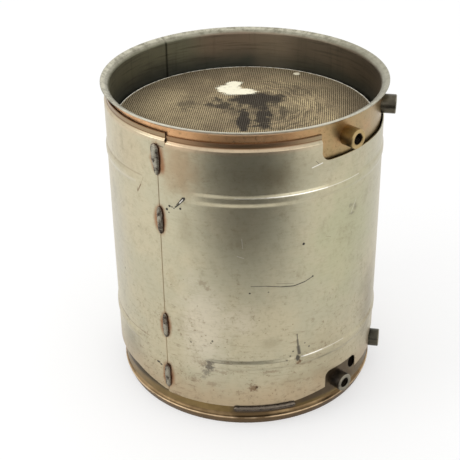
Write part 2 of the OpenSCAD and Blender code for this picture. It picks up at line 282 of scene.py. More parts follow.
shieldLook = {
    "tones": {"steel": (181, 175, 150), "steelWarm": (191, 181, 153), "green": (176, 175, 142),
              "cool": (174, 171, 157), "bright": (212, 202, 182), "grime": (134, 122, 96),
              "edgeHeat": (182, 160, 130), "collarHeat": (140, 108, 78), "collarOlive": (146, 128, 98),
              "bend": (206, 178, 148), "seamWarm": (156, 128, 96), "halo": (140, 94, 62),
              "seamLine": (140, 108, 76), "soil": (30, 23, 18), "rust": (104, 74, 46),
              "smudge": (92, 86, 78), "pale": (240, 237, 228)},
    "noises": {"fine": (420,), "wide": (55, 4, 0.6), "blotch": (38, 5, 0.7), "freckle": (150, 4, 0.7),
               "dust": (300, 3, 0.7), "brushed": ((70, 70, 640), 2), "smear": ((45, 45, 190), 5, 0.7)},
    "grain": (11, 420), "speckScale": 130, "wobble": 30, "leftFrom": 4, "leftLift": -3, "leftCool": 0.6,
    "coolFrom": (12, 34), "bendCool": (-0.45, 0.55), "seamRow": (33, 360, 1), "seamShare": 0.4, "haloShift": 0.4,
    "haloShare": 0.85, "halos": [(12, 24), (10.6, 22.5), (10, 22), (10.6, 22)], "rough": (0.08, 0.25),
    "brushRough": 0.08, "dirtRough": 0.3, "dirtMetal": -0.7, "stainDirt": 0.5, "grainLift": 0.012, "waveLift": 2,
    "bump": 0.5, "ground": [("steelWarm", ("Mottle", 0.35, 0.65))],
    # colours in the order they are laid on, each with fades: of what, from, to, greatest and least strength
    # the bend's pale colour is a painted highlight
    "layers": [("edgeHeat", ("wobble", 78, 34, 0.75)), ("bend", ("level", 354, 359), ("bendShare",)),
               ("collar", ("level", 361.6, 363, 0.9)), ("halo", ("halo",)), ("seamLine", ("seam",)),
               ("grime", ("brushed", 0.5, 0.8, 0.16)), ("grime", ("blotch", 0.52, 0.74, 0.25)),
               ("grime", ("freckle", 0.46, 0.7, 0.2)),
               ("rust", ("dust", 0.56, 0.68), ("blotch", 0.44, 0.6), ("Height", 230, 90, 0.5, 0.12)),
               ("rust", ("stain",)), ("smudge", ("smudge",)), ("soil", ("soil",)), ("pale", ("gleam",))],
    # specks, smears round the lower half, and painted shade in the crease under the collar and along its brim
    "rusts": [(("speck", 0.14, 0.05), ("speckPick", 0.76, 0.84), ("Height", 300, 110, 0.6, 0.15)),
              (("smear", 0.56, 0.72), ("Height", 200, 80, 0.45, 0.05)),
              (("level", 362.6, 363.2, 0.75), ("level", 364.2, 363.6)), (("level", 367.5, 368.3, 0.6),)],
    # blur and raggedness of the marks' edges
    "tintEdge": (0.9, 0.9), "haloEdge": (0.5, 0.6), "stainEdge": (0.8, 2.2), "smudgeEdge": (0.8, 1.6),
    "markEdge": (0.5, 0.8),
    # broad tints: turn, height, half width, half height, strength, colour; the dark tints across the front at heights
    # 330 to 335 and 258 are painted dark reflection
    "tints": [
        (45, 240, 80, 120, 0.7, "green"), (-68, 210, 48, 115, 0.55, "cool"), (-18, 135, 42, 95, 0.6, "bright"),
        (32, 85, 55, 52, 0.28, "grime"), (66, 120, 40, 85, 0.6, "grime"), (-26, 335, 42, 48, 0.65, "seamWarm"),
        (-52, 335, 46, 50, 0.15, "seamWarm"), (48, 266, 13, 16, 0.2, "grime"), (20, 60, 30, 16, 0.3, "grime"),
        (11, 330, 30, 26, 0.45, "grime"), (-24, 262, 16, 34, 0.3, "grime"), (-2, 150, 28, 30, 0.35, "bright"),
        (12, 335, 130, 32, 0.2, "grime"), (-2, 258, 40, 40, 0.25, "grime"), (9.5, 118, 16, 13, 0.3, "grime"),
        (33, 58, 24, 18, 0.35, "grime"), (-60, 70, 40, 34, 0.35, "smudge")],
    # dark marks, brown stains and grey smudges: turn, height, half width, half height, strength; the dark mark at turn
    # 21.6, height 92 is painted shade in the dent
    "marks": [
        (-31.9, 282.2, 2, 2.1, 1), (-30.6, 286.9, 2.1, 1.8, 1), (-29.5, 286.5, 1.3, 1.2, 0.95),
        (-31, 278.6, 1.2, 1.2, 0.8), (-25.8, 286.8, 1.9, 1.7, 0.95), (-28.6, 285.4, 1.1, 1, 0.9),
        (23, 244.1, 2.1, 2.1, 1), (1.4, 188.5, 1.6, 1.4, 0.95), (-40.2, 69, 3.6, 2, 0.95),
        (-38.8, 67, 2.4, 1.7, 0.9), (4.1, 57.6, 2.2, 2.6, 0.5), (21.6, 92, 3.4, 5.5, 0.85),
        (-23.4, 114.1, 1.4, 1.3, 0.8), (-14, 121, 1.6, 2.2, 0.75), (-14.6, 118, 1.2, 1.6, 0.6),
        (8.8, 188.8, 1.3, 1.2, 0.6), (-61.5, 172, 1.3, 2, 0.6), (18.2, 97, 1.5, 1.3, 0.7),
        (27.4, 199.4, 1.6, 1.4, 0.9), (26.6, 104.5, 1.6, 1.5, 0.7), (24.6, 111, 1.3, 1.2, 0.6),
        (19.4, 103, 1.5, 1.4, 0.7), (16.6, 92.6, 1.6, 1.4, 0.6), (-47.6, 246, 0.9, 0.9, 0.6)],
    "stains": [
        (-17.2, 198, 8, 6, 0.3), (-15.6, 191.5, 5, 4, 0.35), (-14.4, 60, 11, 5, 0.3), (2.8, 57, 8, 6, 0.75),
        (4.1, 57.6, 3.4, 3.6, 1), (21.6, 85.5, 5, 4, 0.8), (-23, 61, 12, 5, 0.35), (-10.3, 79, 14, 3, 0.3),
        (-2.8, 80.7, 12, 2.6, 0.3), (10, 79, 16, 3, 0.45), (-19, 88, 16, 5, 0.3), (-46.9, 293, 1.6, 3.6, 0.7),
        (-32, 29, 9, 6, 0.6), (11, 62, 5, 3, 0.25), (33, 104, 4, 3, 0.35), (-8, 140, 4, 2, 0.25),
        (28, 140, 3, 5, 0.25), (14, 122, 3, 2, 0.3), (-25, 172, 3, 2, 0.2)],
    "smudges": [
        (-15.6, 83.5, 9.5, 8, 0.8), (-17, 76, 8, 7, 0.6), (-18, 68, 5, 5, 0.45), (-15.2, 90.5, 7, 4, 0.75),
        (46.2, 272, 5, 3.5, 0.35), (49.2, 267, 4, 6, 0.35), (47.2, 261, 7, 2.4, 0.35)],
    # dark scratch lines, some of them painted shade and dark reflection, pale lines rubbed bare and painted highlights,
    # and brown scuff lines, some of them painted dark reflection: from turn and height, to turn and height, half width,
    # strength
    # the strokes down into the dent, at the foot of the lower weld at height 30.4 and under the collar's tab at the
    # front seam are painted shade; the line along the lower rib at height 92 is a painted dark reflection
    "scratches": [
        (1.9, 197.5, 8, 197, 0.65, 0.8), (8, 197, 14, 194, 0.75, 0.9), (14, 194, 19.2, 192.6, 0.95, 0.95),
        (19.2, 192.6, 24, 195.2, 0.95, 0.95), (24, 195.2, 27.5, 199.3, 0.8, 0.9), (12, 199, 19, 196, 0.4, 0.55),
        (27.5, 341, 28.8, 337, 0.5, 0.6), (-28, 287.2, -26.3, 291.7, 1.3, 1), (-26.3, 291.7, -24.7, 296.7, 1.3, 1),
        (-24.7, 296.7, -23.8, 299.7, 1.7, 1), (-27.3, 290.5, -25.8, 295.7, 1, 0.9),
        (-25.8, 295.7, -24.6, 300.2, 1.4, 1), (-24.6, 300.2, -23.8, 300.8, 1.7, 1), (21, 126, 21.2, 118, 1, 0.7),
        (21.2, 118, 21.6, 108, 1.9, 0.72), (21.6, 108, 22.2, 98, 3.3, 0.8), (-17, 92.3, -6, 91.9, 0.9, 0.55),
        (-6, 91.9, 16, 92, 0.7, 0.4), (-5, 30.4, 20, 30.4, 1.5, 0.9), (-36, 356.2, -32.4, 355.4, 0.8, 0.75)],
    # the long pale lines along the ribs are painted highlights; the short ones are lines rubbed bare
    "gleams": [
        (-76, 303.5, -48, 303.5, 2.4, 0.12), (-4, 306.9, 8, 306.9, 0.6, 0.55), (8, 306.9, 33, 306.9, 0.8, 0.85),
        (33, 306.9, 50, 307.2, 0.6, 0.45), (25.9, 334.2, 30.4, 337, 0.9, 0.8), (-1.6, 258, -1.2, 246, 0.6, 0.35),
        (-3.4, 236.2, -0.8, 233.6, 0.6, 0.4), (-26, 293.6, -24.6, 298.4, 0.8, 0.9), (23.2, 93.4, 33, 94.4, 0.9, 0.8),
        (33, 94.4, 45, 94.6, 0.6, 0.4), (46.5, 262, 49.5, 276, 0.5, 0.4)],
    # the long lines along the ribs of the left half, at heights 100.6 and 313, are painted dark reflection
    "scuffs": [
        (-84, 100.6, -62, 100.6, 1, 0.75), (-62, 100.6, -45, 100.6, 0.8, 0.5), (-80, 312.6, -44, 313.6, 1.5, 0.25),
        (-43.1, 311.6, -44.8, 301.3, 0.6, 0.35), (-44.8, 301.3, -46.9, 291.2, 1.2, 0.75),
        (33, 246, 35.5, 243, 0.5, 0.4), (-6, 118, 2, 116, 0.6, 0.25), (8, 74, 20, 71, 0.5, 0.25)],
}


def makeShieldSteel():
    material, tree, inputs = startMaterial("shieldSteel", Metallic=1.0)
    settings, look, values = shieldLook, tonesOf(shieldLook), valuesOf(tree, shieldLook)
    turn, height, fine, wide = [values[name] for name in ("Turn", "Height", "fine", "wide")]
    colour = layColours(look, values, look["steel"], settings["ground"])
    for *row, strength, name in settings["tints"]:
        mask = times(markMask(spotGroup, values, *row, *settings["tintEdge"], wide), strength)
        colour = blendColour(mask, colour, look[name])
    # straw and bronze heat tints at the lower edge and the collar, and a painted highlight along the bend; the collar
    # and the bend sit higher on the left half
    onLeft = calc("ADD", calc("LESS_THAN", turn, seams[0] + settings["leftFrom"]),
                  calc("GREATER_THAN", turn, seams[1]))
    cool = times(fade(turn, *settings["coolFrom"]), minus(1, onLeft))
    cool = scaleAdd(onLeft, settings["leftCool"], cool)
    look["collar"] = blendColour(cool, look["collarHeat"], look["collarOlive"])
    values["bendShare"] = scaleAdd(cool, *settings["bendCool"])
    values["level"] = scaleAdd(onLeft, settings["leftLift"], height)
    values["wobble"] = scaleAdd(minus(wide, 0.5), settings["wobble"], height)
    # brown heat marks where the seams are stitched, and their rusty lines
    halos = [markMask(spotGroup, values, side + settings["haloShift"], beadHeight, *size, *settings["haloEdge"], wide)
             for side in seams for beadHeight, size in zip(beadHeights, settings["halos"])]
    values["halo"] = times(largest(halos), settings["haloShare"])
    low, high, width = settings["seamRow"]
    lines = [markMask(strokeGroup, values, side, low, side, high, width) for side in seams]
    values["seam"] = times(largest(lines), settings["seamShare"])
    # specks, stains, smudges, spatter and scratch lines, with painted shade, dark reflection and highlights among them
    cells = addNode(tree, "ShaderNodeTexVoronoi", {"Vector": objectSpot(tree), "Scale": settings["speckScale"]}).outputs
    values["speck"] = cells["Distance"]
    values["speckPick"] = addNode(tree, "ShaderNodeSeparateColor", {0: cells["Color"]}).outputs[0]
    stain = largest([maskOf(values, fades) for fades in settings["rusts"]]
                    + markMasks(spotGroup, values, settings["stains"], *settings["stainEdge"], fine)
                    + markMasks(strokeGroup, values, settings["scuffs"]))
    soil = largest(markMasks(spotGroup, values, settings["marks"], *settings["markEdge"], fine)
                   + markMasks(strokeGroup, values, settings["scratches"]))
    gleam = largest(markMasks(strokeGroup, values, settings["gleams"]))
    smudge = largest(markMasks(spotGroup, values, settings["smudges"], *settings["smudgeEdge"], fine))
    values.update(stain=stain, soil=soil, gleam=gleam, smudge=smudge)
    colour = layColours(look, values, colour, settings["layers"])
    # marks, stains and painted shade lines are rougher and less metallic
    dirty = calc("MAXIMUM", times(soil, minus(1, gleam)), times(stain, settings["stainDirt"]))
    rough = scaleAdd(values["brushed"], settings["brushRough"], scaleAdd(values["Grain"], *settings["rough"]))
    plug(inputs, {"Base Color": colour, "Roughness": scaleAdd(dirty, settings["dirtRough"], rough),
                  "Metallic": scaleAdd(dirty, settings["dirtMetal"], 1)})
    bumpSheet(inputs, values, settings)
    return material


canLook = {
    "tones": {"soot": (86, 88, 80), "sootWarm": (138, 122, 104), "sootLeft": (128, 126, 106), "streak": (58, 56, 48),
              "insidePale": (142, 130, 110), "insideDim": (66, 62, 50), "bronze": (220, 174, 129),
              "bronzeDim": (190, 146, 103), "olive": (162, 141, 101), "lip": (200, 196, 176),
              "lipDark": (146, 142, 124), "lipEdge": (104, 100, 84), "lipPale": (226, 222, 206),
              "base": (140, 118, 78), "baseDim": (106, 88, 55), "gap": (16, 12, 9), "shade": (72, 62, 54)},
    "noises": {"neckStain": (230, 5, 0.75), "neckSpeck": (620, 2), "rolled": ((22, 22, 380),),
               "lipStain": (110, 5, 0.7)},
    "grain": (18, 600), "sootRagged": 24, "lipRagged": 3, "seamRow": (-141, 0, -141, 384, 2.6),
    "darkShine": (-0.5, 0.5), "rough": (0.14, 0.3), "insideRough": 0.12, "grainLift": 0.03, "waveLift": 1.2,
    "bump": 0.5, "baseRise": (70, 60),
    # painted shadow in the hollows at the notches' ends: turn, height, half width, half height
    "gaps": [(54.9, 45.5, 10.5, 10.5), (90.9, 45.5, 10.5, 10.5)], "gapEdge": (0.15, 0.1),
    # painted shadow on the can under the left half of the shield
    "under": [("Turn", -24, -38, 0.8), ("Turn", -150, -100), ("Height", 24, 31)],
    "wallRise": (376, 381, 158.6, 156.5), "insideFrom": (0.3, -0.3),
    "lipLevel": (20, 112, 379.8, 378.2), "lipFrom": (-1.6, 1.6), "seamLip": 0.6, "seamInside": 0.55,
    # darker lines at the lip's inner and outer edges and along the seam
    "soiled": [("Radius", 161, 158.8, 0.5), ("Radius", 164.7, 165.3, 0.5)],
    # each part of the can: the colour it starts with, then layers as for the shield
    "parts": {
        "olive": ("olive", ("bronzeDim", ("Mottle", 0.42, 0.66, 0.6))),
        "upper": ("sootLeft", ("sootWarm", ("Turn", -150, -165)), ("sootWarm", ("Turn", 20, 60))),
        "base": ("base", ("baseDim", ("Mottle", 0.35, 0.65)), ("gap", ("under",)),
                 ("shade", ("Turn", 18, 26), ("Turn", 64, 46, 0.75), ("Height", 19, 24)),
                 ("shade", ("Turn", -8.5, -4.5), ("Turn", 23.5, 19.5), ("Height", 11, 15.5, 0.85)),
                 ("gap", ("hollows",))),
        # the pale band between 146° and 179° on the back of the inside wall is a painted highlight
        "inside": ("soot", ("upper", ("sootRise", 337, 366)), ("streak", ("rolled", 0.48, 0.72, 0.4)),
                   ("streak", ("Streak", 0.5, 0.8, 0.3)), ("insidePale", ("Turn", 146, 166), ("Turn", 179, 170, 0.4)),
                   ("insideDim", ("Turn", 166, 150, 0.55), ("Turn", 40, 60)), ("gap", ("weld",))),
        # the lip is paler round the front, a painted highlight
        "lip": ("lip", ("lipDark", ("lipStain", 0.4, 0.66)), ("lipEdge", ("soiled",)),
                ("lipDark", ("Turn", 43, 73, 0.6), ("Turn", 153, 123)),
                ("lipPale", ("Turn", -70, -40, 0.5), ("Turn", 70, 40))),
        "all": ("bronze", ("bronzeDim", ("Mottle", 0.35, 0.62)), ("olive", ("Turn", 8, 36), ("Turn", 165, 110)),
                ("baseDim", ("neckStain", 0.5, 0.68, 0.4)), ("streak", ("neckSpeck", 0.66, 0.74, 0.7)),
                ("base", ("isBase",)), ("inside", ("isInside",)), ("lip", ("isLip",)))},
}


def makeCanSteel():
    material, tree, inputs = startMaterial("canSteel", Metallic=1.0)
    settings, look, values = canLook, tonesOf(canLook), valuesOf(tree, canLook)
    turn, height, radius, mottle = [values[name] for name in ("Turn", "Height", "Radius", "Mottle")]
    ragged = minus(mottle, 0.5)
    weld = markMask(strokeGroup, values, *settings["seamRow"])
    under = maskOf(values, settings["under"])
    hollows = largest([markMask(spotGroup, values, *row, *settings["gapEdge"], mottle) for row in settings["gaps"]])
    soiled = largest([maskOf(values, [row]) for row in settings["soiled"]] + [times(weld, settings["seamLip"])])
    isBase = fade(height, *settings["baseRise"])
    isInside = fade(minus(radius, fade(height, *settings["wallRise"])), *settings["insideFrom"])
    lipLevel = fade(calc("ABSOLUTE", turn), *settings["lipLevel"])
    isLip = fade(minus(scaleAdd(ragged, settings["lipRagged"], height), lipLevel), *settings["lipFrom"])
    values.update(weld=times(weld, settings["seamInside"]), under=under, hollows=hollows, soiled=soiled,
                  isBase=isBase, isInside=isInside, isLip=isLip,
                  sootRise=scaleAdd(ragged, settings["sootRagged"], height))
    for name, (first, *rows) in settings["parts"].items():
        look[name] = layColours(look, values, look[first], rows)
    # where shadow is painted the can is matt and shines less
    dark = times(largest([under, hollows]), isBase, minus(1, isInside))
    rough = scaleAdd(times(isInside, minus(1, isLip)), settings["insideRough"],
                     scaleAdd(values["Grain"], *settings["rough"]))
    plug(inputs, {"Base Color": look["all"], "Roughness": rough, "Metallic": minus(1, dark),
                  "Specular IOR Level": scaleAdd(dark, *settings["darkShine"])})
    bumpSheet(inputs, values, settings)
    return material


flangeLook = {
    "tones": {"steel": (150, 126, 92), "burnt": (104, 84, 58), "ridge": (206, 180, 146), "face": (112, 90, 62)},
    # burnt in patches, with painted shade on the face below the ridge and a painted highlight along the ridge
    "layers": [("burnt", ("Mottle", 0.35, 0.65)), ("face", ("Height", 10.4, 8.6, 0.8)),
               ("ridge", ("Radius", 157.2, 158.2), ("Height", 9.4, 10.4), ("Mottle", 0.72, 0.45))],
    "grain": (22, 700), "rough": (0.15, 0.32), "bump": (0.25, 0.1 * mm),
}


def makeFlangeSteel():
    material, tree, inputs = startMaterial("flangeSteel", Metallic=1.0)
    look, values = tonesOf(flangeLook), valuesOf(tree, flangeLook)
    plug(inputs, {"Base Color": layColours(look, values, look["steel"], flangeLook["layers"]),
                  "Roughness": scaleAdd(values["Grain"], *flangeLook["rough"])})
    bumpInto(inputs, values["Grain"], *flangeLook["bump"])
    return material


bossLook = {
    # each boss: finish, slot, colours of its body and its end, turn, height and radius of its end's middle
    "bosses": {
        "inlet_pressure_boss": ("bronzedBoss", "bronzed_boss", (168, 141, 94), (176, 152, 106), 43.5, 358, 174),
        "inlet_temperature_boss": ("greyBoss", "grey_boss", (108, 102, 88), (150, 144, 124), 79.5, 358, 174),
        "outlet_pressure_boss": ("darkBossFront", "dark_boss", (98, 92, 85), (138, 132, 117), 43.5, 36.5, 171.5),
        "outlet_temperature_boss": ("darkBossSide", "dark_boss", (92, 88, 76), (140, 134, 116), 79.5, 36.5, 171.5)},
    "tones": {"hole": (30, 25, 20)}, "dim": 0.7,
    "layers": [("dim", ("Mottle", 0.3, 0.7)), ("face", ("depth", 1.1 * mm, 0.5 * mm), ("Mottle", 0.75, 0.45)),
               ("hole", ("off", 7 * mm, 6.5 * mm), ("depth", 0.2 * mm, 1.6 * mm))],
    "grain": (60, 900), "rough": (0.15, 0.26), "rings": {"Scale": 260, "Distortion": 0.6}, "bump": (0.15, 0.05 * mm),
}


def makeBossSteel(name, body, face, bossTurn, bossHeight, faceAt):
    # turned steel: rings round its own axis, paler on the machined end, dark in the hole
    material, tree, inputs = startMaterial(name, Metallic=1.0)
    look, values = tonesOf(bossLook), valuesOf(tree, bossLook)
    look.update(body=tone(*body), dim=tone(*[v * bossLook["dim"] for v in body]), face=tone(*face))
    turned = addNode(tree, "ShaderNodeMapping", {
        "Vector": objectSpot(tree), "Rotation": (0, 0, math.radians(90 - bossTurn))}).outputs[0]
    out, across, up = splitSpot(turned)
    values.update(depth=minus(faceAt * mm, out), off=flatLength(across, minus(up, bossHeight * mm)))
    plug(inputs, {"Base Color": layColours(look, values, look["body"], bossLook["layers"]),
                  "Roughness": scaleAdd(values["Grain"], *bossLook["rough"])})
    rings = addNode(tree, "ShaderNodeTexWave", {"Vector": turned, **bossLook["rings"]}, bands_direction="X")
    bumpInto(inputs, rings.outputs["Fac"], *bossLook["bump"])
    return material


faceLook = {
    "tones": {"plug": (196, 176, 136), "plugDim": (152, 134, 103), "soot": (58, 51, 41), "clean": (255, 249, 222),
              "rim": (252, 248, 234), "edge": (116, 103, 80), "pale": (214, 192, 148)},
    "noises": {"broad": (16, 4, 0.65), "rough": (62, 5, 0.65), "fine": (240, 2, 0.6), "wiped": ((26, 150, 1), 3, 0.6)},
    # darker towards the rim, painted shadow of the can's wall
    "layers": [("plugDim", ("broad", 0.35, 0.65)), ("edge", ("Radius", 92, 150, 0.72)), ("pale", ("pales",)),
               ("pale", ("band",), ("rings", 0.5, 0.95, 0.5)), ("soot", ("band",), ("rings", -0.5, -0.95, 0.35)),
               ("soot", ("soots",)), ("clean", ("cleans",)),
               ("rim", ("Radius", 149.9, 150.4), ("fine", 0.36, 0.56, 0.95, 0.3)), ("edge", ("fine", 0.5, 0.8, 0.3))],
    # places on the face: x, y, half width, half depth, blur, ragged, strength
    "soots": [(10, 38, 46, 33, 0.6, 2, 0.95), (26, 42, 32, 30, 0.6, 1.8, 0.95), (-1.1, -14, 9, 42, 0.45, 3, 0.95),
              (21.4, -16, 13, 42, 0.45, 3, 0.95), (-26, 28, 20, 22, 0.7, 3.4, 0.85), (14, 12, 56, 60, 0.9, 3, 0.55),
              (44, 2, 8, 26, 0.6, 2.8, 0.7), (-66, 26, 16, 26, 0.8, 4, 0.55), (-60, -40, 60, 50, 0.9, 2.2, 0.18),
              (64, 66, 40, 30, 0.9, 2, 0.35)],
    "pales": [(72, 30, 26, 40, 0.8, 1.8, 0.75), (-80, -10, 55, 50, 0.9, 1.4, 0.12), (90, -20, 34, 34, 0.8, 1.6, 0.6)],
    "cleans": [(-18, 75, 19, 17, 0.25, 1.5, 1), (-7, 67, 26, 11, 0.25, 1.7, 1), (-13, 92, 10, 9, 0.3, 2, 1),
               (65.9, 124.4, 5, 5, 0.4, 1.4, 0.75)],
    # round scuffs where something was turned on the face
    "swirl": (10, 20, 1, 1), "swirlRagged": 34, "ringStep": 0.62,
    "band": [("far", 44, 52), ("far", 92, 80), ("faceX", 0, 0.04)], "bump": (0.3, 0.1 * mm),
}


def makeFilterCeramic():
    material, tree, inputs = startMaterial("filterCeramic", Roughness=0.9)
    look, values = tonesOf(faceLook), valuesOf(tree, faceLook)
    faceX, faceY = splitSpot(objectSpot(tree))[:2]
    ragged, wiped = minus(values["rough"], 0.5), minus(values["wiped"], 0.5)

    def away(x, y, width, tall):
        return flatLength(calc("DIVIDE", minus(faceX, x * mm), width * mm),
                          calc("DIVIDE", minus(faceY, y * mm), tall * mm))

    for name, edge in (("pales", ragged), ("soots", ragged), ("cleans", wiped)):
        values[name] = largest([fade(scaleAdd(edge, rough, away(*row)), 1, 1 - blur, strength)
                                for *row, blur, rough, strength in faceLook[name]])
    far = scaleAdd(ragged, faceLook["swirlRagged"], away(*faceLook["swirl"]))
    values.update(far=far, faceX=faceX, rings=calc("SINE", times(far, faceLook["ringStep"])))
    values["band"] = maskOf(values, faceLook["band"])
    plug(inputs, {"Base Color": layColours(look, values, look["plug"], faceLook["layers"])})
    bumpInto(inputs, values["fine"], *faceLook["bump"])
    return material


cellLook = {"tones": {"soot": (44, 38, 29), "deep": (26, 23, 18)}, "noise": 30}


def makeCellSoot():
    # walls inside the open cells
    material, tree, inputs = startMaterial("cellSoot", Roughness=0.95)
    look = tonesOf(cellLook)
    plug(inputs, {"Base Color": blendColour(cloud(objectSpot(tree), cellLook["noise"]), look["soot"], look["deep"])})
    return material


matLook = {"tones": {"fibre": (150, 144, 128), "pale": (222, 218, 204)}, "fade": (0.3, 0.7),
           "noise": ((300, 300, 1600), 4, 0.7), "bump": (0.6, 0.3 * mm)}


def makeMatFibre():
    material, tree, inputs = startMaterial("matFibre", Roughness=1.0)
    look = tonesOf(matLook)
    fibre = cloud(objectSpot(tree), *matLook["noise"])
    plug(inputs, {"Base Color": blendColour(fade(fibre, *matLook["fade"]), look["fibre"], look["pale"])})
    bumpInto(inputs, fibre, *matLook["bump"])
    return material


weldLook = {
    # scale in patches, a dark foot, and a painted highlight along the top of each bead; on the level bead the painted
    # highlight runs along its ridge
    "weldMetal": {"tones": {"metal": (124, 117, 103), "scale": (62, 51, 43), "foot": (80, 52, 36),
                            "crest": (150, 145, 130)},
                  "layers": [("scale", ("blotch", 0.42, 0.66)), ("foot", ("Radius", 163.3, 161.9, 0.9)),
                             ("crest", ("Radius", 163.5, 164.5), ("blotch", 0.62, 0.42))]},
    "edgeWeldMetal": {"tones": {"metal": (84, 74, 64), "scale": (38, 30, 25), "foot": (34, 26, 20),
                                "crest": (118, 108, 95)},
                      "layers": [("scale", ("blotch", 0.42, 0.66)), ("foot", ("Radius", 163, 161.4, 0.9)),
                                 ("crest", ("Height", 27.4, 28.6, 0.9), ("Height", 30.4, 29.2),
                                  ("blotch", 0.72, 0.5, 1, 0.35))]},
    "noises": {"blotch": (160, 4, 0.65), "pitted": (700, 3)}, "rough": (0.3, 0.7, 0.5, 0.26), "bump": (0.4, 0.15 * mm),
}


def makeWeldMetal(name):
    material, tree, inputs = startMaterial(name, Metallic=0.85)
    look, values = tonesOf(weldLook[name]), valuesOf(tree, weldLook)
    plug(inputs, {"Base Color": layColours(look, values, look["metal"], weldLook[name]["layers"]),
                  "Roughness": fade(values["blotch"], *weldLook["rough"])})
    bumpInto(inputs, values["pitted"], *weldLook["bump"])
    return material


shieldSteel = makeShieldSteel()
canSteel = makeCanSteel()
flangeSteel = makeFlangeSteel()
filterCeramic = makeFilterCeramic()
cellSoot = makeCellSoot()
matFibre = makeMatFibre()
weldMetal = makeWeldMetal("weldMetal")
edgeWeldMetal = makeWeldMetal("edgeWeldMetal")
bossFinish = {node: makeBossSteel(name, *values)
              for node, (name, slotName, *values) in bossLook["bosses"].items()}
print("materials made:", len(bpy.data.materials))


# pieces

def addMesh(name, bm, materials):
    mesh = bpy.data.meshes.new(name)
    bm.to_mesh(mesh)
    bm.free()
    for material in materials:
        mesh.materials.append(material)
    thing = bpy.data.objects.new(name, mesh)
    scene.collection.objects.link(thing)
    return thing


def showPiece(name, bm, materials, replaced=(), sharpAngle=30):
    piece = addMesh(name, bm, materials)
    mesh = piece.data
    if "custom_normal" in mesh.attributes:      # stored normals no longer fit a merged mesh
        mesh.attributes.remove(mesh.attributes["custom_normal"])
    mesh.polygons.foreach_set("use_smooth", [True] * len(mesh.polygons))
    mesh.set_sharp_from_angle(angle=math.radians(sharpAngle))
    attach(piece, "root")
    if replaced:
        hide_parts(*replaced)


skinSet = {
    # the solid's own form, with its facets smoothed: finish, slot, sharpest bend that is smoothed
    "skins": {"can": (canSteel, "can_steel", 14), "outlet_flange": (flangeSteel, "flange_steel", 28),
              "support_mat": (matFibre, "mat_fibre", 14)},
    "bossBend": 20, "merge": 2e-6,
}
for nodeName, boss in bossLook["bosses"].items():
    skinSet["skins"][nodeName] = (bossFinish[nodeName], boss[1], skinSet["bossBend"])
for nodeName, (finish, slotName, sharpAngle) in skinSet["skins"].items():
    bm = bmesh.new()
    bm.from_mesh(frame["nodes"][nodeName].data)
    bmesh.ops.remove_doubles(bm, verts=bm.verts, dist=skinSet["merge"])
    for face in bm.faces:
        face.material_index = 0
    showPiece(nodeName + "_skin", bm, [finish], [nodeName], sharpAngle)
print("skins made:", len(skinSet["skins"]))


shieldSet = {
    # millimetres and degrees; each half: first and last angle, set out, lift, spans of the ribs
    "halves": {"heat_shield_right": (-43.5, 152.5, 0, 0, (-35.5, 144.5)),
               "heat_shield_left": (-215.5, -31.5, 1.15, 3, (-215.5, -35.5))},
    "thick": 1, "lapPress": (0.8, 1.4), "top": 368.5, "collarIn": 2.3, "step": (359.6, 363.2), "bow": 0.3,
    # lower edges: lowest and highest level, slope; the right one rises from an x, the left one from the seam
    "rightEdge": (30, 38.5, 8), "leftEdge": (33, 44, 16), "riseFrom": 55, "lapGap": 1.2, "slantBelow": 56,
    "ribs": (89, 303), "ribSide": (7.4, 2.6), "ribRise": 1.3, "ribFades": ((14, 20.5), (7, 19)),
    "columnStep": 1.4, "rowSpans": ((40, 5), (76, 9), (103, 1.3), (290, 17), (319, 1.3), (356, 9), (372, 0.7)),
    # first and last angle, level, open upward or downward, corner
    "notches": {"heat_shield_right": ((30.3, 96, 338, 1, 11), (35.5, 55, 57.5, -1, 8),
                                      (71.5, 91, 57.5, -1, 8)),
                "heat_shield_left": ((-35.5, 0, 358.5, -1, 1.5),)},
    "cornerSteps": 6, "cornerReach": 8, "weld": 1e-4,
    # turn, height, half width, half height, depth; then the first, the gap and the number of extra columns
    "dent": (21.7, 91, 7, 9, 2.2), "dentColumns": (19.3, 0.35, 14),
}


def ease(value, start, end):
    share = min(max((value - start) / (end - start), 0.0), 1.0)
    return share * share * (3 - 2 * share)


def bottomEdge(name, turn):
    if name == "heat_shield_right" and turn < seamTurn:      # the lap ends above the left half's edge
        return shieldSet["lapGap"] + bottomEdge("heat_shield_left", turn)
    x, seamX = [wallRadius / mm * math.sin(math.radians(angle)) for angle in (turn, seamTurn)]
    onRight = name == "heat_shield_right"
    low, high, slope = shieldSet["rightEdge" if onRight else "leftEdge"]
    run = x - shieldSet["riseFrom"] if onRight else seamX - x
    return min(high, max(low, low + run * math.tan(math.radians(slope))))


def shieldRadius(turn, height, setOut, lift, span):
    z = height - lift
    inset = min(turn - span[0], span[1] - turn)
    out = setOut - shieldSet["collarIn"] * ease(z, *shieldSet["step"])
    lower, upper = shieldSet["ribs"]
    if lower < z < upper:
        share = (2 * z - lower - upper) / (upper - lower)
        out += shieldSet["bow"] * (1 - share * share)
    for rib, ribFade in zip(shieldSet["ribs"], shieldSet["ribFades"]):
        out += shieldSet["ribRise"] * ease(inset, *ribFade) * ease(abs(z - rib), *shieldSet["ribSide"])
    if setOut and z < shieldSet["step"][0]:
        press, reach = shieldSet["lapPress"]
        out -= press * ease(inset, reach, 0.0)
    atTurn, atHeight, width, tall, depth = shieldSet["dent"]
    away = math.hypot((turn - atTurn) * wallArc / width, (height - atHeight) / tall)
    return wallRadius / mm + out - depth * ease(away, 1.0, 0.0)


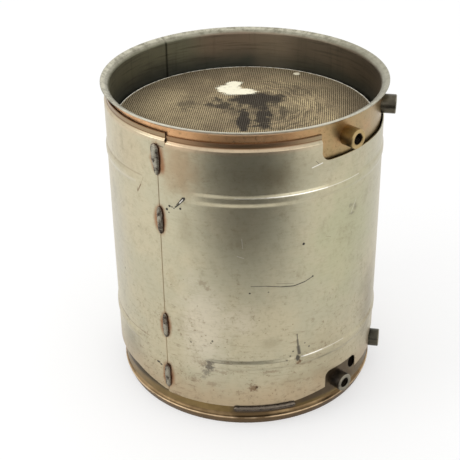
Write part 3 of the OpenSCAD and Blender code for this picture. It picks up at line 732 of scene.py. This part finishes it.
def cutNotch(bm, left, right, edge, way, corner):
    # on the flat sheet: a notch with round corners, open upward or downward
    left, right = left * wallArc, right * wallArc
    half = 45 / shieldSet["cornerSteps"]
    far = corner * math.cos(math.radians(half))
    cuts = [((left, 0), (1, 0)), ((right, 0), (1, 0)), ((0, edge), (0, 1))]
    straight = len(cuts)
    for x, side in ((left + corner, -1), (right - corner, 1)):
        for step in range(shieldSet["cornerSteps"]):
            angle = math.radians(half + 2 * half * step)
            outward = (side * math.sin(angle), -way * math.cos(angle))
            cuts.append(((x + far * outward[0], edge + way * corner + far * outward[1]), outward))
    for number, (point, normal) in enumerate(cuts):
        faces = bm.faces[:]
        if number >= straight:              # a corner's cuts stay near it
            reach = corner + shieldSet["cornerReach"]
            faces = [f for f in faces if (f.calc_center_median() - Vector((*point, 0))).length < reach]
        parts = list({v for f in faces for v in f.verts}) + list({e for f in faces for e in f.edges}) + faces
        bmesh.ops.bisect_plane(bm, geom=parts, dist=shieldSet["weld"], plane_co=(*point, 0), plane_no=(*normal, 0))
    gone = []
    for face in bm.faces:
        x, y = face.calc_center_median().xy
        rise = way * (y - edge)
        inset = min(x - left, right - x)
        if rise > 0 and inset > 0:
            if min(rise, inset) > corner or math.hypot(max(corner - rise, 0), max(corner - inset, 0)) < corner:
                gone.append(face)
    bmesh.ops.delete(bm, geom=gone, context="FACES")


def makeShield(name):
    start, end, setOut, lift, span = shieldSet["halves"][name]
    columns = math.ceil((end - start) / shieldSet["columnStep"])
    turns = [start + (end - start) * i / columns for i in range(columns + 1)]
    if name == "heat_shield_right":
        first, gap, count = shieldSet["dentColumns"]
        turns = sorted(turns + [first + gap * i for i in range(count)])
    base = min(bottomEdge(name, turn) for turn in turns)
    heights = [base]
    for upTo, step in shieldSet["rowSpans"]:
        begin, stop = heights[-1], min(upTo, shieldSet["top"]) + lift
        count = max(1, math.ceil((stop - begin) / step))
        heights += [begin + (stop - begin) * (i + 1) / count for i in range(count)]
    bm = bmesh.new()
    bmesh.ops.create_grid(bm, x_segments=len(turns) - 1, y_segments=len(heights) - 1, size=0.5)
    slant = shieldSet["slantBelow"]
    for vert in bm.verts:
        turn = turns[round((vert.co.x + 0.5) * (len(turns) - 1))]
        height = heights[round((vert.co.y + 0.5) * (len(heights) - 1))]
        if height < slant:
            height = slant - (slant - height) * (slant - bottomEdge(name, turn)) / (slant - base)
        vert.co = (turn * wallArc, height, 0)
    for notch in shieldSet["notches"][name]:
        cutNotch(bm, *notch)
    for vert in bm.verts:
        turn, height = vert.co.x / wallArc, vert.co.y
        radius, angle = shieldRadius(turn, height, setOut, lift, span) * mm, math.radians(turn)
        vert.co = (radius * math.sin(angle), -radius * math.cos(angle), height * mm)
    bmesh.ops.recalc_face_normals(bm, faces=bm.faces)
    middle = max(bm.faces, key=lambda face: face.calc_area())
    centre = middle.calc_center_median()
    if middle.normal.x * centre.x + middle.normal.y * centre.y < 0:
        bmesh.ops.reverse_faces(bm, faces=bm.faces)
    bmesh.ops.solidify(bm, geom=bm.faces[:], thickness=shieldSet["thick"] * mm)
    bmesh.ops.recalc_face_normals(bm, faces=bm.faces)
    showPiece(name + "_sheet", bm, [shieldSteel], [name])


for shieldName in shieldSet["halves"]:
    makeShield(shieldName)
print("shields made")


filterSet = {
    "pitch": 1.72 * mm, "wall": 0.3 * mm, "pit": 9 * mm, "skin": 1.4 * mm, "turn": 50.2, "steps": 96,
    "plugSink": 0.15 * mm, "cellSink": 0.02 * mm, "bed": 1 * mm, "chamfer": 0.5 * mm,
    # in pitches: the ledge under the outer cells, the gaps from the skin to the cells and to open ones
    "ledge": 0.9, "cellGap": 0.2, "openGap": 0.4,
    "choked": 0.85,                             # share of a clean patch in which the cells are covered
}


def makeFilterBody():
    low, high = filterLow.z, filterHigh.z
    sunk, chamfer = filterSet["plugSink"], filterSet["chamfer"]
    bed = filterSet["pit"] + filterSet["bed"]
    rim = filterRadius - filterSet["skin"]
    inner = rim - filterSet["ledge"] * filterSet["pitch"]
    outline = [(0, high - bed), (inner, high - bed), (inner, high - sunk), (rim, high - sunk), (rim, high),
               (filterRadius - chamfer, high), (filterRadius, high - chamfer)]
    outline += [(r, low + high - z) for r, z in reversed(outline)]
    bm = bmesh.new()
    points = [bm.verts.new((r, 0, z)) for r, z in outline]
    edges = [bm.edges.new(pair) for pair in zip(points, points[1:])]
    bmesh.ops.spin(bm, geom=points + edges, cent=(0, 0, 0), axis=(0, 0, 1), angle=2 * math.pi,
                   steps=filterSet["steps"], use_merge=True)
    bmesh.ops.remove_doubles(bm, verts=bm.verts, dist=mergeWithin)
    bmesh.ops.recalc_face_normals(bm, faces=bm.faces)
    showPiece("filterBody", bm, [filterCeramic], ["filter_substrate"])


def makeCells(name, faceZ, upward, odd, side):
    # a grid of real-pitch cells: every second one is open, the others are plugged flush
    pitch = filterSet["pitch"]
    count = 2 * math.ceil(filterRadius / pitch) + 1
    bm = bmesh.new()
    bmesh.ops.create_grid(bm, x_segments=count, y_segments=count, size=count * pitch / 2)
    reach = filterRadius - filterSet["skin"] - filterSet["cellGap"] * pitch
    dropped, openCells = [], []
    turned = Matrix.Rotation(math.radians(-filterSet["turn"]), 4, "Z")
    for face in bm.faces:
        middle = face.calc_center_median()
        x, y = (turned @ middle).xy / mm
        choked = upward and any(math.hypot((x - row[0]) / row[2], (y - row[1]) / row[3]) < filterSet["choked"]
                                for row in faceLook["cleans"])
        column, row = round(middle.x / pitch), round(middle.y / pitch)
        inOpen = middle.length < reach - filterSet["openGap"] * pitch
        if middle.length > reach or (column >= 0) != (side > 0):
            dropped.append(face)
        elif (column + row) % 2 == odd and inOpen and not choked:
            openCells.append(face)
    bmesh.ops.inset_individual(bm, faces=openCells, thickness=filterSet["wall"] / 2)
    pits = bmesh.ops.extrude_discrete_faces(bm, faces=openCells)["faces"]
    floors = [v for face in pits for v in face.verts]
    bmesh.ops.translate(bm, verts=floors, vec=(0, 0, -filterSet["pit"]))
    for face in pits:
        face.material_index = 1
        for edge in face.edges:
            for wall in edge.link_faces:
                wall.material_index = 1
    bmesh.ops.delete(bm, geom=dropped, context="FACES")
    if not upward:
        turned = Matrix.Rotation(math.pi, 4, "X") @ turned
    bmesh.ops.transform(bm, matrix=Matrix.Translation((0, 0, faceZ)) @ turned, verts=bm.verts)
    showPiece(name, bm, [filterCeramic, cellSoot])


makeFilterBody()
for side, sideName in ((1, "Right"), (-1, "Left")):
    makeCells("inletCells" + sideName, filterHigh.z - filterSet["cellSink"], True, 0, side)
    makeCells("outletCells" + sideName, filterLow.z + filterSet["cellSink"], False, 1, side)
print("filter made")


beadSet = {
    # one entry for each stitch, from the top: half width, its growth upwards, length, shift and lean across
    "beads": [(4.8, 0.3, 37, -2.2, -1.3), (3.7, 0.1, 34, 0, -0.5), (3.5, -0.1, 33, 0, -0.4),
              (3.9, 0.1, 33, 0, -0.4)],
    "rise": 3, "sink": 0.9, "overLap": 0.8, "ripple": 2.6, "rippleCurve": 1.5, "depth": 0.12,
    "lump": 0.3, "lumpScale": (1.2, 0.22, 7.3), "sides": 20, "rows": 44, "sharp": 60,
}


def makeBeads(name, turn, lapSide, node):
    bm = bmesh.new()
    lumpX, lumpAlong, lumpStep = beadSet["lumpScale"]
    for number, (beadHeight, bead) in enumerate(zip(beadHeights, beadSet["beads"])):
        halfWidth, taper, length, shift, lean = bead
        ball = bmesh.ops.create_uvsphere(bm, u_segments=beadSet["sides"], v_segments=beadSet["rows"], radius=1.0)
        for vert in ball["verts"]:
            x, y, s = vert.co
            blunt = math.sqrt(max(1 - s ** 4, 0.0)) / math.sqrt(max(1 - s * s, 1e-6))
            along = s * length / 2
            phase = 2 * math.pi * along / beadSet["ripple"] + beadSet["rippleCurve"] * abs(x)
            spot = Vector((x * lumpX, along * lumpAlong, number * lumpStep + turn))
            wave = 1 + beadSet["depth"] * math.sin(phase) + beadSet["lump"] * noise.noise(spot)
            across = x * halfWidth * (1 + taper * s) * blunt * (0.5 + 0.5 * wave)
            across += lapSide * (beadSet["overLap"] + shift + lean * s)
            angle = math.radians(turn) + across * mm / wallRadius
            radius = wallRadius + (beadSet["sink"] + y * beadSet["rise"] * blunt * wave) * mm
            vert.co = (radius * math.sin(angle), -radius * math.cos(angle), (beadHeight + along) * mm)
    bmesh.ops.recalc_face_normals(bm, faces=bm.faces)
    showPiece(name, bm, [weldMetal], [node], beadSet["sharp"])


edgeWeldSet = {"radius": 3.4 * mm, "path": 0.1608, "from": -5.5, "sweep": 26, "sides": 14, "steps": 70, "taper": 0.022,
               "thinnest": 0.02, "lump": 0.35 * mm, "lumpScale": (36, 90), "lumpSeed": 3.1, "lumpShare": 0.9,
               "ripple": 160, "rippleShare": 0.2, "liftShare": 0.4}


def makeEdgeWeld():
    low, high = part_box("shield_edge_weld")
    middle = (low.z + high.z) / 2
    start, sweep = math.radians(edgeWeldSet["from"]), math.radians(edgeWeldSet["sweep"])
    path, taper = edgeWeldSet["path"], edgeWeldSet["taper"]
    lumpTurn, lumpUp = edgeWeldSet["lumpScale"]
    bm = bmesh.new()
    ring = bmesh.ops.create_circle(bm, cap_ends=True, segments=edgeWeldSet["sides"], radius=edgeWeldSet["radius"])
    upright = Matrix.Translation((0, -path, middle)) @ Matrix.Rotation(math.pi / 2, 4, "Y")
    bmesh.ops.transform(bm, matrix=Matrix.Rotation(start, 4, "Z") @ upright, verts=ring["verts"])
    bmesh.ops.spin(bm, geom=bm.verts[:] + bm.edges[:] + bm.faces[:], cent=(0, 0, 0), axis=(0, 0, 1), angle=sweep,
                   steps=edgeWeldSet["steps"], use_merge=False)
    for vert in bm.verts:
        angle = math.atan2(vert.co.x, -vert.co.y)
        radius = math.hypot(vert.co.x, vert.co.y)
        lump = noise.noise(Vector((angle * lumpTurn, vert.co.z * lumpUp, edgeWeldSet["lumpSeed"])))
        lump = lump * edgeWeldSet["lumpShare"] + edgeWeldSet["rippleShare"] * math.sin(angle * edgeWeldSet["ripple"])
        push = lump * edgeWeldSet["lump"]
        radius += push if radius > path else 0
        nearEnd = min((angle - start) / taper, (start + sweep - angle) / taper, 1.0)
        shrink = math.sqrt(max(1 - (1 - max(nearEnd, 0.0)) ** 2, edgeWeldSet["thinnest"]))
        vert.co.z = middle + (vert.co.z - middle) * shrink + push * edgeWeldSet["liftShare"]
        vert.co.x, vert.co.y = radius * math.sin(angle), -radius * math.cos(angle)
    bmesh.ops.remove_doubles(bm, verts=bm.verts, dist=mergeWithin)
    bmesh.ops.recalc_face_normals(bm, faces=bm.faces)
    showPiece("edgeWeldBead", bm, [edgeWeldMetal], ["shield_edge_weld"], beadSet["sharp"])


makeBeads("frontSeamBeads", seams[0], 1, "front_seam_welds")
makeBeads("rearSeamBeads", seams[1], -1, "rear_seam_welds")
makeEdgeWeld()
print("welds made")


threadSet = {"pitch": 1.5 * mm, "depth": 0.55 * mm, "root": 0.1 * mm, "halfFoot": 0.46, "steps": 20,
             "start": 1.6 * mm, "turns": 7, "sharp": 20}


def makeThread(mount):
    bm = bmesh.new()
    radius, pitch, steps = mount["dims"]["r_mm"] * mm, threadSet["pitch"], threadSet["steps"]
    root, foot = radius + threadSet["root"], threadSet["halfFoot"] * pitch
    corners = [(root, 0, -foot), (radius - threadSet["depth"], 0, 0), (root, 0, foot)]
    points = [bm.verts.new(corner) for corner in corners]
    section = bm.faces.new(points)
    bmesh.ops.spin(bm, geom=points + section.edges[:] + [section], cent=(0, 0, 0), axis=(0, 0, 1),
                   dvec=(0, 0, -pitch / steps), angle=2 * math.pi * threadSet["turns"],
                   steps=steps * threadSet["turns"], use_merge=False)
    bmesh.ops.recalc_face_normals(bm, faces=bm.faces)
    axis = Vector(mount["axis"]).normalized()
    mouth = Vector(mount["pos_m"]) + axis * (mount["dims"]["length_mm"] * mm / 2 - threadSet["start"])
    place = Matrix.Translation(mouth) @ axis.to_track_quat("Z", "Y").to_matrix().to_4x4()
    bmesh.ops.transform(bm, matrix=place, verts=bm.verts)
    finish, slotName, sharpAngle = skinSet["skins"][mount["name"].replace("_thread", "_boss")]
    showPiece(mount["name"] + "_ridge", bm, [finish], (), threadSet["sharp"])


for mount in threads:
    makeThread(mount)
print("threads made:", len(threads))


# floor, light and camera

stageSet = {
    "floor": 0.95, "floorDim": 0.94, "floorNoise": 3, "floorHalf": 6, "floorGlow": 0.5, "world": 1.06,
    # dark cards seen only in the metal: middle, half sizes, clear and full distance, lean from level
    "cards": {"floorCard": ((0.02, -1.27, 4 * mm), (0.98, 0.88, 1), (1.04, 0.68), 0),
              "backCard": ((0, -2.4, 0.34), (1, 1, 0.36), (1, 0.7), 90)},
    "cardDark": 0.01, "cardMargin": 1.1,
    # place, size and power of each lamp, and what they all face
    "lamps": {"leftBox": ((-1.3, -0.5, 0.9), (0.8, 0.8), 5), "rightBox": ((1.55, -1.57, 0.34), (1.3, 0.09), 3.2)},
    "lampAim": (0, 0, 0.2),
}


def grey(value):
    return (value, value, value, 1)


def makeFloor():
    material, tree, inputs = startMaterial("paleFloor", **{"Roughness": 1.0, "Specular IOR Level": 0.0})
    mottle = cloud(objectSpot(tree), stageSet["floorNoise"])
    plug(inputs, {"Base Color": blendColour(mottle, grey(stageSet["floor"]), grey(stageSet["floorDim"]))})
    # seen straight on, the floor is partly a white backdrop, so its shadow stays light
    seen = addNode(tree, "ShaderNodeLightPath").outputs["Is Camera Ray"]
    glow = addNode(tree, "ShaderNodeEmission", {"Color": grey(1), "Strength": 1.0}).outputs[0]
    mixed = addNode(tree, "ShaderNodeMixShader", {
        0: times(seen, stageSet["floorGlow"]), 1: tree.nodes["Principled BSDF"].outputs[0], 2: glow})
    plug(tree.nodes["Material Output"].inputs, {"Surface": mixed.outputs[0]})
    bm = bmesh.new()
    bmesh.ops.create_grid(bm, x_segments=1, y_segments=1, size=stageSet["floorHalf"])
    floor = addMesh("floor", bm, [material])


def makeDarkCard(name, middle, half, edge, lean):
    # a soft-edged dark flag beside the camera's view
    material = bpy.data.materials.new(name)
    material.use_nodes = True
    tree = material.node_tree
    tree.nodes.clear()
    spread = addNode(tree, "ShaderNodeMapping", {
        "Vector": objectSpot(tree), "Location": [-m / h for m, h in zip(middle, half)],
        "Scale": [1 / h for h in half]}).outputs[0]
    cover = fade(vectorCalc("LENGTH", spread), *edge)
    clear = addNode(tree, "ShaderNodeBsdfTransparent").outputs[0]
    matt = addNode(tree, "ShaderNodeBsdfDiffuse", {"Color": grey(stageSet["cardDark"])}).outputs[0]
    mixed = addNode(tree, "ShaderNodeMixShader", {0: cover, 1: clear, 2: matt}).outputs[0]
    addNode(tree, "ShaderNodeOutputMaterial", {"Surface": mixed})
    bm = bmesh.new()
    bmesh.ops.create_grid(bm, x_segments=1, y_segments=1, size=1.0)
    bmesh.ops.rotate(bm, matrix=Matrix.Rotation(math.radians(lean), 3, "X"), verts=bm.verts)
    bmesh.ops.scale(bm, vec=[stageSet["cardMargin"] * h for h in half], verts=bm.verts)
    bmesh.ops.translate(bm, vec=middle, verts=bm.verts)
    card = addMesh(name, bm, [material])
    card.visible_camera = card.visible_diffuse = card.visible_shadow = False


def makeLight():
    world = bpy.data.worlds.new("studio")
    scene.world = world
    world.use_nodes = True
    back = world.node_tree.nodes["Background"]
    back.inputs["Color"].default_value = grey(1)
    back.inputs["Strength"].default_value = stageSet["world"]
    for name, (place, size, power) in stageSet["lamps"].items():
        lamp = bpy.data.lights.new(name, "AREA")
        lamp.shape = "RECTANGLE"
        lamp.size, lamp.size_y = size
        lamp.energy = power
        lampObject = bpy.data.objects.new(name, lamp)
        scene.collection.objects.link(lampObject)
        aim = Vector(stageSet["lampAim"]) - Vector(place)
        lampObject.matrix_world = Matrix.Translation(place) @ aim.to_track_quat("-Z", "Y").to_matrix().to_4x4()


# metres, radians, and millimetres for the lens and the film
cameraSet = {"eye": (0, -1.1502, 0.8287), "yaw": -0.0170, "pitch": 0.5147, "roll": -0.0157, "lens": 83.33, "film": 36}


def makeCamera():
    camera = bpy.data.cameras.new("camera")
    camera.lens, camera.sensor_width = cameraSet["lens"], cameraSet["film"]
    cameraObject = bpy.data.objects.new("camera", camera)
    scene.collection.objects.link(cameraObject)
    turned = Matrix.Rotation(-cameraSet["yaw"], 4, "Z") @ Matrix.Rotation(math.pi / 2 - cameraSet["pitch"], 4, "X")
    turned = turned @ Matrix.Rotation(cameraSet["roll"], 4, "Z")
    cameraObject.matrix_world = Matrix.Translation(cameraSet["eye"]) @ turned
    scene.camera = cameraObject


makeFloor()
for cardName, card in stageSet["cards"].items():
    makeDarkCard(cardName, *card)
makeLight()
makeCamera()
print("stage set")
